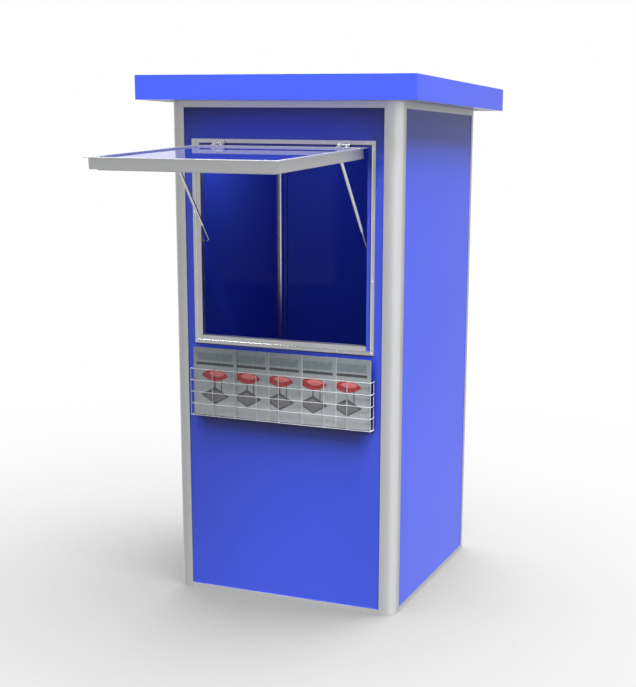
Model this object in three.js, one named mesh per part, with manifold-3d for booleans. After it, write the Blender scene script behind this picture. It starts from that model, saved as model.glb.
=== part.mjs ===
// Walk-in street kiosk for newspapers: a square booth on four rounded corner posts, with an
// overhanging flat roof, a top-hung serving hatch held open by two stays, a wire magazine rack
// under the window and a full-width door at the back.
// Millimetres, +Z up, the serving side faces -Y, origin on the floor under the middle of the booth.
import * as THREE from 'three';
import { mergeVertices } from 'three/addons/utils/BufferGeometryUtils.js';
import Module from 'manifold-3d';

const wasm = await Module();
wasm.setup();

// ---- driving dimensions -------------------------------------------------------------------
const GAP = 0.3; // clearance between neighbouring solids
const BODY = 1000; // width and depth over the corner posts
const HALF = BODY / 2;
const BASE_H = 20; // height of the bottom rails
const PANEL_SHOWN = 2020; // wall height between the rails
const HEAD_H = 25; // height of the top rails
const PANEL_TOP = BASE_H + PANEL_SHOWN;
const BODY_TOP = PANEL_TOP + HEAD_H;

const POST_FACE = 66; // width of a post seen square on
const POST_RADIUS = 50; // outer rounding of a post
const POST_CORE = 40; // depth at which a panel groove ends
const LIP = 3; // outer lip that covers a panel's edge
const PANEL_T = 25;
const GROOVE_BACK = LIP + PANEL_T + 2 * GAP;
const INNER_LIP = 2.5;
const RAIL_DEPTH = GROOVE_BACK + INNER_LIP;
const PANEL_OUT = LIP + GAP; // a wall panel's outer face, measured in from the lip
const PANEL_IN = PANEL_OUT + PANEL_T;
const GROOVE_H = 10; // how far a rail takes a panel's edge

const ROOF_OVERHANG = 97;
const FASCIA_H = 96;
const FASCIA_T = 18;
const DECK_T = 18;
const CEILING_T = 9;
const FLOOR_T = 18;

// Window and hatch
const FRAME_HALF = 400; // outer half width of the aluminium window frame
const FRAME_TOP = 1917;
const FRAME_BOTTOM = 1083;
const STRIP_W = 16; // face width of a frame strip
const STRIP_T = 3;
const CUT_HALF = 366; // half width of the hole in the front wall
const CUT_TOP = 1890;
const CUT_BOTTOM = 1115;
const COVER_T = 1.2; // thin cover on the left and lower edges of the hole
const SILL_DEPTH = 34;

const AXIS_Y = -510; // the hatch turns about this line
const AXIS_Z = 1900;
const HATCH_TILT = THREE.MathUtils.degToRad(3.5); // droop below level when open
const HATCH_HALF = 374; // half width over the flange
const HATCH_NEAR = 6; // flange edge nearest the hinge line
const HATCH_FAR = 788; // free edge of the flange
const HATCH_SKIN = 8; // outer face of the hatch, measured from the hinge line
const RIM_W = 23; // rim seen around the sheet
const SHEET_T = 4;
const SHEET_DROP = 5; // the sheet lies this far below the rim
const HINGE_X = 272;
const HINGE_W = 52;
const HINGE_BARREL = 5;
const CATCH_INSET = 26; // from the free edge to the catch's stem
const CATCH_REACH = 52;
const CATCH_W = 13;
const CATCH_T = 3;
const CATCH_ARM_V = 50.6; // the arm's upper face, below the hinge line

// Stays
const STAY_X = 350;
const STAY_U = 229; // upper pivot, along the hatch and below its hinge line
const STAY_V = 30;
const FOOT_Y = -457.5;
const FOOT_Z = 1505;
const TUBE_R = 6.5;
const ROD_R = 2.6;
const ROD_SHOWN = 86; // bare rod between the tube and the foot
const FOOT_REACH = 30; // the foot points this far outwards, behind the wall
const FOOT_CLEARANCE = 1.5; // from the foot's end to its slotted plate
const GUIDE_T = 2.5;
const GUIDE_DEPTH = 26;
const GUIDE_FLANGE = 20;
const GUIDE_SLOT = 8;
const GUIDE_MARGIN = 14; // plate left above and below the slot
const GUIDE_TOP = FOOT_Z + 18;
const GUIDE_BOTTOM = 1200;
const PIVOT_ENDS = [339.9, 357.6]; // the pivot pin spans the channel between the hatch's legs
const PIVOT_HEAD = 2.5;
const EYE_R = 8;

// Rack and magazines
const RACK_HALF = 404;
const RACK_ROWS = 5;
const RACK_PITCH_Z = 49;
const RACK_BOTTOM = 782;
const RACK_COLUMNS = 9;
const WIRE_R = 2;
const RACK_FRONT = -540; // wire centre line
const RACK_BACK = -500.5;
const WIRE_SIDES = 6;
const MAGAZINES = 5;
const MAGAZINE_W = 203;
const MAGAZINE_H = 284;
const MAGAZINE_T = 4;
const MAGAZINE_PITCH = 148.5;
const MAGAZINE_Y = -526;
const MAGAZINE_TURN = THREE.MathUtils.degToRad(-1.8);

// Rear door
const DOOR_HALF = 430;
const DOOR_BOTTOM = 24;
const DOOR_TOP = 2036;
const DOOR_AXIS_X = -432;
const DOOR_AXIS_Y = 506;
const DOOR_BARREL = 4.5;
const DOOR_KNUCKLES = 7;
const LEVER_X = 380;
const LEVER_Z = 1050;
const LEVER_LENGTH = 118;
const LEVER_STAND = 44; // from the door face to the middle of the grip
const BOLT_REACH = 3.4; // how far the latch bolt stands out of the door's edge
const BOLT_Y = 484;
const BOLT_T = 10;
const BOLT_H = 16;
const ROSE_R = 26;

// ---- materials ----------------------------------------------------------------------------
function finish(color, roughness, metalness) {
  return new THREE.MeshStandardMaterial({ color, roughness, metalness });
}

const BLUE = finish(0x4a5fe0, 0.25, 0.0);
const NAVY_FLOOR = finish(0x3c4046, 0.7, 0.0);
const SILVER = finish(0xb4b6ba, 0.35, 0.9);
const PALE = finish(0xe6e7ea, 0.5, 0.0);
const WIRE = finish(0xe2e4ea, 0.3, 0.2);
const STEEL = finish(0xc2c5ca, 0.25, 1.0);
const PAPER = finish(0x9ba6ad, 0.45, 0.0);

// ---- geometry helpers ---------------------------------------------------------------------
const model = new THREE.Group();

function add(parent, name, geometry, material) {
  const mesh = new THREE.Mesh(geometry, material);
  mesh.name = name;
  parent.add(mesh);
  return mesh;
}

function block(x0, x1, y0, y1, z0, z1) {
  const geometry = new THREE.BoxGeometry(x1 - x0, y1 - y0, z1 - z0);
  return geometry.translate((x0 + x1) / 2, (y0 + y1) / 2, (z0 + z1) / 2);
}

function outline(points, holes = []) {
  const shape = new THREE.Shape(points.map(([x, y]) => new THREE.Vector2(x, y)));
  for (const hole of holes) {
    shape.holes.push(new THREE.Path(hole.map(([x, y]) => new THREE.Vector2(x, y))));
  }
  return shape;
}

function rectangle(x0, x1, y0, y1) {
  return [[x0, y0], [x1, y0], [x1, y1], [x0, y1]];
}

function circle(cx, cy, radius, sides) {
  return Array.from({ length: sides }, (_, i) => {
    const angle = (2 * Math.PI * (i + 0.5)) / sides;
    return [cx + radius * Math.cos(angle), cy + radius * Math.sin(angle)];
  });
}

function extrude(shape, depth) {
  return new THREE.ExtrudeGeometry(shape, { depth, bevelEnabled: false, steps: 1 });
}

// Axes of an extrusion: its outline's first and second axis, then the way it is drawn out.
function basis(first, second, along, origin) {
  return new THREE.Matrix4().makeBasis(first, second, along).setPosition(origin);
}

const X = new THREE.Vector3(1, 0, 0);
const Y = new THREE.Vector3(0, 1, 0);
const Z = new THREE.Vector3(0, 0, 1);

// An outline in (x, y) drawn up from z0 to z1
function pillar(shape, z0, z1) {
  return extrude(shape, z1 - z0).translate(0, 0, z0);
}

// An outline in (y, z) drawn from x0 to x1
function alongX(shape, x0, x1) {
  return extrude(shape, x1 - x0).applyMatrix4(basis(Y, Z, X, new THREE.Vector3(x0, 0, 0)));
}

// An outline in (z, x) drawn from y0 to y1
function alongY(shape, y0, y1) {
  return extrude(shape, y1 - y0).applyMatrix4(basis(Z, X, Y, new THREE.Vector3(0, y0, 0)));
}

// A straight round bar between two points
function bar(from, to, radius, sides) {
  const a = new THREE.Vector3(...from);
  const b = new THREE.Vector3(...to);
  const along = b.clone().sub(a);
  const geometry = new THREE.CylinderGeometry(radius, radius, along.length(), sides);
  const turn = new THREE.Quaternion().setFromUnitVectors(Y, along.clone().normalize());
  geometry.applyQuaternion(turn);
  return geometry.translate(...a.add(b).multiplyScalar(0.5).toArray());
}

// A bar with 45 degree ends. The profile is given as (distance in from the outer edge, height);
// the bar comes out as (in, height, along) with its outer edge's middle at the origin.
function mitredBar(profile, length) {
  const geometry = extrude(outline(profile), length);
  const position = geometry.attributes.position;
  for (let i = 0; i < position.count; i += 1) {
    const inset = position.getX(i) + GAP / 2;
    const end = position.getZ(i) < length / 2 ? inset : length - inset;
    position.setZ(i, end - length / 2);
  }
  geometry.computeVertexNormals();
  return geometry;
}

function placeMitred(profile, length, inward, height, origin) {
  const along = new THREE.Vector3().crossVectors(inward, height);
  return mitredBar(profile, length).applyMatrix4(basis(inward, height, along, origin));
}

function solid(geometry) {
  const bare = geometry.clone();
  bare.deleteAttribute('normal');
  bare.deleteAttribute('uv');
  const merged = mergeVertices(bare, 1e-4);
  return new wasm.Manifold(new wasm.Mesh({
    numProp: 3,
    vertProperties: new Float32Array(merged.attributes.position.array),
    triVerts: new Uint32Array(merged.index.array),
  }));
}

function surface(manifold) {
  const mesh = manifold.getMesh();
  const geometry = new THREE.BufferGeometry();
  geometry.setAttribute('position', new THREE.BufferAttribute(mesh.vertProperties, 3));
  geometry.setIndex(new THREE.BufferAttribute(mesh.triVerts, 1));
  geometry.computeVertexNormals();
  return geometry;
}

function joined(geometries) {
  return surface(geometries.map(solid).reduce((whole, piece) => whole.add(piece)));
}

function cut(geometry, tools) {
  return surface(tools.map(solid).reduce((whole, tool) => whole.subtract(tool), solid(geometry)));
}

// A group turned about Z in quarter turns, for what repeats on the four sides
function side(quarters) {
  const group = new THREE.Group();
  group.rotation.z = (quarters * Math.PI) / 2;
  model.add(group);
  return group;
}

const SIDES = ['front', 'right', 'rear', 'left'];
const CORNERS = ['front_left', 'front_right', 'rear_right', 'rear_left'];

// ---- posts and rails ----------------------------------------------------------------------
function postOutline() {
  const steps = 8;
  const arc = Array.from({ length: steps + 1 }, (_, i) => {
    const angle = Math.PI + (i * Math.PI) / 2 / steps;
    return [POST_RADIUS + POST_RADIUS * Math.cos(angle), POST_RADIUS + POST_RADIUS * Math.sin(angle)];
  });
  const back = RAIL_DEPTH;
  const lipEnd = POST_CORE + 12;
  const chamfer = POST_CORE + 4;
  const lower = [
    [POST_FACE, 0], [POST_FACE, LIP], [POST_CORE, LIP], [POST_CORE, GROOVE_BACK],
    [lipEnd, GROOVE_BACK], [lipEnd, back], [chamfer, back],
  ];
  const upper = lower.map(([a, b]) => [b, a]).reverse();
  return outline([...arc, ...lower, ...upper]);
}

function addPosts() {
  const geometry = pillar(postOutline(), 0, BODY_TOP).translate(-HALF, -HALF, 0);
  CORNERS.forEach((corner, i) => add(side(i), `corner_post_${corner}`, geometry, SILVER));
}

function railOutline(z0, z1, grooveFrom, grooveTo) {
  if (grooveFrom === grooveTo) return outline(rectangle(-HALF, -HALF + RAIL_DEPTH, z0, z1));
  const open = grooveFrom < (z0 + z1) / 2 ? z0 : z1;
  const deep = open === z0 ? grooveTo : grooveFrom;
  const shut = open === z0 ? z1 : z0;
  const points = [
    [0, shut], [RAIL_DEPTH, shut], [RAIL_DEPTH, open], [GROOVE_BACK, open],
    [GROOVE_BACK, deep], [LIP, deep], [LIP, open], [0, open],
  ];
  return outline(points.map(([b, z]) => [b - HALF, z]));
}

function addRails() {
  const half = HALF - POST_FACE - GAP;
  SIDES.forEach((name, i) => {
    const grooved = name !== 'rear';
    const low = grooved ? [BASE_H - GROOVE_H, BASE_H] : [0, 0];
    const high = grooved ? [PANEL_TOP, PANEL_TOP + GROOVE_H] : [0, 0];
    const bottom = alongX(railOutline(0, BASE_H, ...low), -half, half);
    const top = alongX(railOutline(PANEL_TOP, BODY_TOP, ...high), -half, half);
    add(side(i), `bottom_rail_${name}`, bottom, SILVER);
    add(side(i), `top_rail_${name}`, top, SILVER);
  });
}

// ---- walls, floor and roof ----------------------------------------------------------------
const WALL_HALF = HALF - POST_CORE - GAP;
const WALL_BOTTOM = BASE_H - GROOVE_H + GAP;
const WALL_TOP = PANEL_TOP + GROOVE_H - GAP;

function addWalls() {
  const sheet = rectangle(WALL_BOTTOM, WALL_TOP, -WALL_HALF, WALL_HALF);
  const hole = rectangle(CUT_BOTTOM, CUT_TOP, -CUT_HALF, CUT_HALF);
  const front = alongY(outline(sheet, [hole]), -HALF + PANEL_OUT, -HALF + PANEL_IN);
  const plain = alongY(outline(sheet), -HALF + PANEL_OUT, -HALF + PANEL_IN);
  add(model, 'front_panel', front, BLUE);
  add(side(1), 'right_panel', plain, BLUE);
  add(side(3), 'left_panel', plain, BLUE);
}

function addFloor() {
  const half = HALF - RAIL_DEPTH - GAP;
  const corner = 16; // clears the posts' inner faces
  const quarter = [[half, -half + corner], [half, half - corner], [half - corner, half]];
  const rest = [[corner - half, half], [-half, half - corner], [-half, corner - half]];
  const points = [...quarter, ...rest, [corner - half, -half], [half - corner, -half]];
  add(model, 'floor_panel', pillar(outline(points), 0, FLOOR_T), NAVY_FLOOR);
}

function addRoof() {
  const half = HALF + ROOF_OVERHANG;
  const inner = half - FASCIA_T - GAP;
  const top = BODY_TOP + FASCIA_H;
  const under = BODY_TOP + GAP;
  add(model, 'ceiling_panel', block(-inner, inner, -inner, inner, under, under + CEILING_T), PALE);
  add(model, 'roof_deck', block(-inner, inner, -inner, inner, top - DECK_T, top), BLUE);
  const profile = rectangle(0, FASCIA_T, BODY_TOP, top);
  const board = placeMitred(profile, 2 * half, Y, Z, new THREE.Vector3(0, -half, 0));
  SIDES.forEach((name, i) => add(side(i), `fascia_${name}`, board, BLUE));
}

// ---- window frame -------------------------------------------------------------------------
const WALL_FACE = -HALF + PANEL_OUT;
const WALL_BACK = -HALF + PANEL_IN;
const STRIP_BACK = WALL_FACE - GAP;
const STRIP_FRONT = STRIP_BACK - STRIP_T;

function addWindowFrame() {
  const inner = FRAME_HALF - STRIP_W;
  const top = FRAME_TOP - STRIP_W;
  const sillTop = FRAME_BOTTOM + STRIP_W;
  add(model, 'window_head', block(-FRAME_HALF, FRAME_HALF, STRIP_FRONT, STRIP_BACK, top, FRAME_TOP), SILVER);
  add(model, 'window_jamb_right',
    block(inner, FRAME_HALF, STRIP_FRONT, STRIP_BACK, sillTop + GAP, top - GAP), SILVER);
  const liner = CUT_HALF - GAP;
  const left = [
    [-FRAME_HALF, STRIP_FRONT], [-inner, STRIP_FRONT], [-inner, STRIP_BACK - COVER_T],
    [-liner + COVER_T, STRIP_BACK - COVER_T], [-liner + COVER_T, WALL_BACK], [-liner, WALL_BACK],
    [-liner, STRIP_BACK], [-FRAME_HALF, STRIP_BACK],
  ];
  const leftCover = pillar(outline(left), CUT_BOTTOM + COVER_T + 2 * GAP, CUT_TOP - 2 * GAP);
  const flatEnd = -CUT_HALF - GAP;
  const face = [
    [-FRAME_HALF, STRIP_FRONT], [-inner, STRIP_FRONT], [-inner, STRIP_BACK - COVER_T],
    [flatEnd, STRIP_BACK - COVER_T], [flatEnd, STRIP_BACK], [-FRAME_HALF, STRIP_BACK],
  ];
  const leftFace = pillar(outline(face), sillTop + GAP, top - GAP);
  add(model, 'window_jamb_left', joined([leftCover, leftFace]), SILVER);
  const back = WALL_FACE + SILL_DEPTH;
  const ledge = CUT_BOTTOM + GAP;
  const sill = [
    [STRIP_FRONT, FRAME_BOTTOM], [STRIP_FRONT, sillTop], [STRIP_BACK - COVER_T, sillTop],
    [STRIP_BACK - COVER_T, ledge + COVER_T], [back, ledge + COVER_T], [back, FRAME_BOTTOM],
    [back - COVER_T, FRAME_BOTTOM], [back - COVER_T, ledge], [STRIP_BACK, ledge],
    [STRIP_BACK, FRAME_BOTTOM],
  ];
  const strip = alongX(outline(sill), -CUT_HALF + GAP, CUT_HALF - GAP);
  const ends = [-1, 1].map((way) => {
    const near = way * (CUT_HALF - 2);
    const far = way * FRAME_HALF;
    const [x0, x1] = [Math.min(near, far), Math.max(near, far)];
    return block(x0, x1, STRIP_FRONT, STRIP_BACK, FRAME_BOTTOM, sillTop);
  });
  add(model, 'window_sill', joined([strip, ...ends]), SILVER);
}

// Slotted plates behind the wall, square to it on each side of the window: the stays' feet end
// just short of them, and rest in the slot's top end when the hatch is open.
function addStayGuides() {
  const near = STAY_X + FOOT_REACH + FOOT_CLEARANCE;
  const front = WALL_BACK + GAP;
  const plate = rectangle(front, front + GUIDE_DEPTH, GUIDE_BOTTOM, GUIDE_TOP);
  const slot = rectangle(
    FOOT_Y - GUIDE_SLOT / 2, FOOT_Y + GUIDE_SLOT / 2,
    GUIDE_BOTTOM + GUIDE_MARGIN, GUIDE_TOP - GUIDE_MARGIN,
  );
  for (const [name, way] of [['left', -1], ['right', 1]]) {
    const span = (from, to) => [way * from, way * to].sort((a, b) => a - b);
    const flange = block(
      ...span(near + 1, near + GUIDE_FLANGE), front, front + GUIDE_T, GUIDE_BOTTOM, GUIDE_TOP,
    );
    const upright = alongX(outline(plate, [slot]), ...span(near, near + GUIDE_T));
    add(model, `stay_guide_${name}`, joined([upright, flange]), STEEL);
  }
}

// ---- hatch --------------------------------------------------------------------------------
// The hatch group's axes: x across, y out from the hinge line (u), z towards its underside (v).
const hatch = new THREE.Group();
hatch.position.set(0, AXIS_Y, AXIS_Z);
hatch.rotation.x = Math.PI + HATCH_TILT;
model.add(hatch);

// Rim, sheet rebate and two legs: the stays fold into the channel between the legs
const HATCH_SEAT = HATCH_SKIN + SHEET_DROP + SHEET_T + GAP; // what the sheet rests on
const HATCH_WALL = 2.5;
const HATCH_LEG = 50; // the outer leg's edge, which is the depth of the hatch's side
const HATCH_LIP = 55; // the inner leg's edge
const HATCH_LAP = 13; // flange outside the outer leg
const HATCH_CHANNEL = [HATCH_LAP + 3, HATCH_LAP + 21.5];
const HATCH_PROFILE = [
  [0, HATCH_SKIN], [0, HATCH_SKIN + HATCH_WALL], [HATCH_LAP, HATCH_SKIN + HATCH_WALL],
  [HATCH_LAP, HATCH_LEG], [HATCH_CHANNEL[0], HATCH_LEG],
  [HATCH_CHANNEL[0], HATCH_SEAT + HATCH_WALL], [HATCH_CHANNEL[1], HATCH_SEAT + HATCH_WALL],
  [HATCH_CHANNEL[1], HATCH_LIP], [HATCH_CHANNEL[1] + HATCH_WALL, HATCH_LIP],
  [HATCH_CHANNEL[1] + HATCH_WALL, HATCH_SEAT], [RIM_W, HATCH_SEAT], [RIM_W, HATCH_SKIN],
];

function addHatchFrame() {
  const length = HATCH_FAR - HATCH_NEAR;
  const middle = (HATCH_FAR + HATCH_NEAR) / 2;
  const rails = {
    front: [new THREE.Vector3(0, -1, 0), new THREE.Vector3(0, HATCH_FAR, 0), 2 * HATCH_HALF],
    rear: [new THREE.Vector3(0, 1, 0), new THREE.Vector3(0, HATCH_NEAR, 0), 2 * HATCH_HALF],
    left: [new THREE.Vector3(1, 0, 0), new THREE.Vector3(-HATCH_HALF, middle, 0), length],
    right: [new THREE.Vector3(-1, 0, 0), new THREE.Vector3(HATCH_HALF, middle, 0), length],
  };
  for (const [name, [inward, origin, run]] of Object.entries(rails)) {
    add(hatch, `hatch_rail_${name}`, placeMitred(HATCH_PROFILE, run, inward, Z, origin), SILVER);
  }
  const inset = RIM_W + GAP;
  const face = HATCH_SKIN + SHEET_DROP;
  add(hatch, 'hatch_sheet', block(
    -HATCH_HALF + inset, HATCH_HALF - inset,
    HATCH_NEAR + inset, HATCH_FAR - inset,
    face, face + SHEET_T,
  ), BLUE);
}

// Butt hinge: the fixed leaf has the middle knuckle and the pin, the moving leaf the outer two.
function addHatchHinges() {
  const knuckle = HINGE_W / 3;
  const pinR = 2;
  const bore = pinR + 0.15;
  for (const [name, x] of [['left', -HINGE_X], ['right', HINGE_X]]) {
    const x0 = x - HINGE_W / 2;
    const x1 = x + HINGE_W / 2;
    const mid = [x - knuckle / 2 + GAP, x + knuckle / 2 - GAP];
    const plateBack = STRIP_FRONT - GAP;
    const plate = block(x0, x1, plateBack - 2, plateBack, AXIS_Z + 3, FRAME_TOP - 1);
    const web = block(...mid, AXIS_Y, plateBack, AXIS_Z + 1, AXIS_Z + HINGE_BARREL);
    const barrel = bar([mid[0], AXIS_Y, AXIS_Z], [mid[1], AXIS_Y, AXIS_Z], HINGE_BARREL, 16);
    const pin = bar([x0, AXIS_Y, AXIS_Z], [x1, AXIS_Y, AXIS_Z], pinR, 12);
    const clear = HINGE_BARREL + 0.6;
    const relief = bar([x0 - 1, AXIS_Y, AXIS_Z], [mid[0] - GAP, AXIS_Y, AXIS_Z], clear, 16);
    const relief2 = bar([mid[1] + GAP, AXIS_Y, AXIS_Z], [x1 + 1, AXIS_Y, AXIS_Z], clear, 16);
    const fixed = cut(joined([plate, web, barrel]), [relief, relief2]);
    add(model, `hatch_hinge_fixed_${name}`, joined([fixed, pin]), STEEL);

    const rim = HATCH_SKIN - GAP;
    const moving = joined([
      block(x0, x1, 9, HATCH_NEAR + RIM_W - 2, rim - 1.8, rim),
      ...[[x0, mid[0] - GAP], [mid[1] + GAP, x1]].flatMap(([a, b]) => [
        bar([a, 0, 0], [b, 0, 0], HINGE_BARREL, 16),
        block(a, b, 0.5, 10, 2, HINGE_BARREL),
        block(a, b, 8, 11, 2, rim),
      ]),
    ]);
    const middle = bar([mid[0] - GAP, 0, 0], [mid[1] + GAP, 0, 0], HINGE_BARREL + 0.6, 16);
    const hole = bar([x0 - 1, 0, 0], [x1 + 1, 0, 0], bore, 16);
    add(hatch, `hatch_hinge_moving_${name}`, cut(moving, [middle, hole]), STEEL);
  }
}

// A turn button on the free edge: it lies along the rail and turns out behind the sill.
function addHatchCatch() {
  const u = HATCH_FAR - CATCH_INSET;
  const root = HATCH_SEAT + HATCH_WALL + GAP;
  const stem = bar([0, u, root], [0, u, CATCH_ARM_V + 1], 5, 16);
  const arm = block(
    -4, CATCH_REACH, u - CATCH_W / 2, u + CATCH_W / 2, CATCH_ARM_V, CATCH_ARM_V + CATCH_T,
  );
  add(hatch, 'hatch_catch', joined([stem, arm]), STEEL);
}

// ---- stays --------------------------------------------------------------------------------
function stayGeometry() {
  const top = new THREE.Vector3(0, STAY_U, STAY_V);
  hatch.updateMatrixWorld(true);
  hatch.localToWorld(top);
  const run = new THREE.Vector3(0, FOOT_Y - top.y, FOOT_Z - top.z);
  return { top, length: run.length(), lean: Math.atan2(run.y, -run.z) };
}

function addStays() {
  const { top, length, lean } = stayGeometry();
  for (const [name, way] of [['left', -1], ['right', 1]]) {
    const across = (x) => [way * x, STAY_U, STAY_V];
    const pin = bar(across(PIVOT_ENDS[0]), across(PIVOT_ENDS[1]), ROD_R, 16);
    const head = bar(across(PIVOT_ENDS[0]), across(PIVOT_ENDS[0] + PIVOT_HEAD), 6, 16);
    add(hatch, `stay_pivot_${name}`, joined([pin, head]), STEEL);

    const stay = new THREE.Group();
    stay.position.set(way * STAY_X, top.y, top.z);
    stay.rotation.x = Math.PI + lean;
    model.add(stay);
    const tubeEnd = length - ROD_SHOWN;
    const profile = [
      [0, 5], [TUBE_R, 5], [TUBE_R, tubeEnd], [ROD_R + GAP, tubeEnd],
      [ROD_R + GAP, tubeEnd - 50], [0, tubeEnd - 50],
    ].map(([r, z]) => new THREE.Vector2(r, z));
    const tube = new THREE.LatheGeometry(profile, 20).rotateX(Math.PI / 2);
    const eye = bar([-5, 0, 0], [5, 0, 0], EYE_R, 20);
    const eyeHole = bar([-6, 0, 0], [6, 0, 0], ROD_R + 0.2, 16);
    add(stay, `stay_tube_${name}`, cut(joined([tube, eye]), [eyeHole]), STEEL);
    add(stay, `stay_rod_${name}`, footedRod(tubeEnd - 40, length, way * FOOT_REACH), STEEL);
  }
}

// Round rod along z whose end bends square into a foot along x
function footedRod(from, to, reach) {
  const bend = 7;
  const path = new THREE.CurvePath();
  const corner = new THREE.Vector3(0, 0, to);
  const start = new THREE.Vector3(0, 0, from);
  const beforeBend = new THREE.Vector3(0, 0, to - bend);
  const afterBend = new THREE.Vector3(Math.sign(reach) * bend, 0, to);
  path.add(new THREE.LineCurve3(start, beforeBend));
  path.add(new THREE.QuadraticBezierCurve3(beforeBend, corner, afterBend));
  path.add(new THREE.LineCurve3(afterBend, new THREE.Vector3(reach, 0, to)));
  const section = outline(circle(0, 0, ROD_R, 10));
  return new THREE.ExtrudeGeometry(section, { steps: 44, bevelEnabled: false, extrudePath: path });
}

// ---- magazine rack ------------------------------------------------------------------------
const RACK_TOP = RACK_BOTTOM + (RACK_ROWS - 1) * RACK_PITCH_Z;
const COLUMN_PITCH = (2 * RACK_HALF) / (RACK_COLUMNS - 1);

function wire(from, to) {
  return bar(from, to, WIRE_R, WIRE_SIDES);
}

function addRack() {
  const rows = Array.from({ length: RACK_ROWS }, (_, i) => RACK_BOTTOM + i * RACK_PITCH_Z);
  const columns = Array.from({ length: RACK_COLUMNS }, (_, i) => -RACK_HALF + i * COLUMN_PITCH);
  const weld = 1.2; // how far crossing wires sink into each other
  const behind = RACK_FRONT + 2 * WIRE_R - weld;
  add(model, 'rack_front_grid', joined([
    ...rows.map((z) => wire([-RACK_HALF - 2, RACK_FRONT, z], [RACK_HALF + 2, RACK_FRONT, z])),
    ...columns.map((x) => wire([x, behind, RACK_BOTTOM - 6], [x, behind, RACK_TOP + 2])),
  ]), WIRE);
  const gap = behind + 2 * WIRE_R + GAP;
  const inset = RACK_HALF - 2 * WIRE_R + weld;
  for (const [name, way] of [['left', -1], ['right', 1]]) {
    add(model, `rack_end_${name}`, joined([
      ...rows.map((z) => wire([way * RACK_HALF, gap, z], [way * RACK_HALF, RACK_BACK, z])),
      wire([way * inset, RACK_BACK, RACK_BOTTOM - 2], [way * inset, RACK_BACK, RACK_TOP + 2]),
    ]), WIRE);
  }
  const baseHalf = RACK_HALF - 9;
  add(model, 'rack_base_grid', joined([
    ...columns.slice(1, -1).map((x) => wire([x, gap, RACK_BOTTOM], [x, RACK_BACK, RACK_BOTTOM])),
    wire([-baseHalf, RACK_BACK + 0.4, RACK_BOTTOM - 2.8], [baseHalf, RACK_BACK + 0.4, RACK_BOTTOM - 2.8]),
  ]), WIRE);
}

function addMagazines() {
  const bottom = RACK_BOTTOM + WIRE_R + GAP;
  const first = -RACK_HALF + 8 + MAGAZINE_W / 2;
  for (let i = 0; i < MAGAZINES; i += 1) {
    const shape = block(-MAGAZINE_W / 2, MAGAZINE_W / 2, -MAGAZINE_T / 2, MAGAZINE_T / 2, 0, MAGAZINE_H);
    const magazine = add(model, `magazine_${i + 1}`, shape, PAPER);
    magazine.position.set(first + i * MAGAZINE_PITCH, MAGAZINE_Y, bottom);
    magazine.rotation.z = MAGAZINE_TURN;
  }
}

// ---- rear door ----------------------------------------------------------------------------
const DOOR_OUT = HALF - PANEL_OUT;
const DOOR_IN = HALF - PANEL_IN;

function addDoor() {
  const sheet = rectangle(DOOR_BOTTOM, DOOR_TOP, -DOOR_HALF, DOOR_HALF);
  const spindle = circle(LEVER_Z, LEVER_X, 6, 16);
  const leaf = alongY(outline(sheet, [spindle]), DOOR_IN, DOOR_OUT);
  const around = (halfY, halfZ) => [BOLT_Y - halfY, BOLT_Y + halfY, LEVER_Z - halfZ, LEVER_Z + halfZ];
  const pocket = block(DOOR_HALF - 32, DOOR_HALF + 5, ...around(BOLT_T / 2 + 0.5, BOLT_H / 2 + 0.5));
  add(model, 'door_panel', cut(leaf, [pocket]), BLUE);
  add(model, 'latch_bolt',
    block(DOOR_HALF - 22, DOOR_HALF + BOLT_REACH, ...around(BOLT_T / 2, BOLT_H / 2)), STEEL);
  const strike = outline(rectangle(BOLT_Y - 11, BOLT_Y + 12, LEVER_Z - 50, LEVER_Z + 50), [
    rectangle(...around(BOLT_T / 2 + 1, BOLT_H / 2 + 2)),
  ]);
  add(model, 'door_strike', alongX(strike, HALF - POST_FACE + 0.8, HALF - POST_CORE - GAP), STEEL);
}

// Long strip hinge: even knuckles belong to the post, odd ones to the door.
function addDoorHinge() {
  const z0 = DOOR_BOTTOM + 6;
  const z1 = DOOR_TOP - 6;
  const pitch = (z1 - z0) / DOOR_KNUCKLES;
  const barrels = (parity) => Array.from({ length: DOOR_KNUCKLES }, (_, i) => i)
    .filter((i) => i % 2 === parity)
    .map((i) => bar(
      [DOOR_AXIS_X, DOOR_AXIS_Y, z0 + i * pitch + (i ? GAP : 0)],
      [DOOR_AXIS_X, DOOR_AXIS_Y, z0 + (i + 1) * pitch - GAP],
      DOOR_BARREL, 14,
    ));
  const reliefs = (parity) => Array.from({ length: DOOR_KNUCKLES }, (_, i) => i)
    .filter((i) => i % 2 === parity)
    .map((i) => bar(
      [DOOR_AXIS_X, DOOR_AXIS_Y, z0 + i * pitch - GAP],
      [DOOR_AXIS_X, DOOR_AXIS_Y, z0 + (i + 1) * pitch + GAP],
      DOOR_BARREL + 0.8, 14,
    ));
  const postPlate = block(-HALF + 52, DOOR_AXIS_X + 1, HALF + GAP, HALF + 2, z0, z1);
  const fixed = cut(postPlate, reliefs(1));
  add(model, 'door_hinge_fixed', joined([fixed, ...barrels(0)]), STEEL);
  const doorPlate = block(DOOR_AXIS_X + 2.4, -402, DOOR_OUT + GAP, DOOR_OUT + 2.2, z0, z1);
  const upstand = block(DOOR_AXIS_X + 2.4, DOOR_AXIS_X + 4.4, DOOR_OUT + GAP, DOOR_AXIS_Y, z0, z1);
  const moving = cut(joined([doorPlate, upstand]), reliefs(0));
  add(model, 'door_hinge_moving', joined([moving, ...barrels(1)]), STEEL);
}

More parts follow.
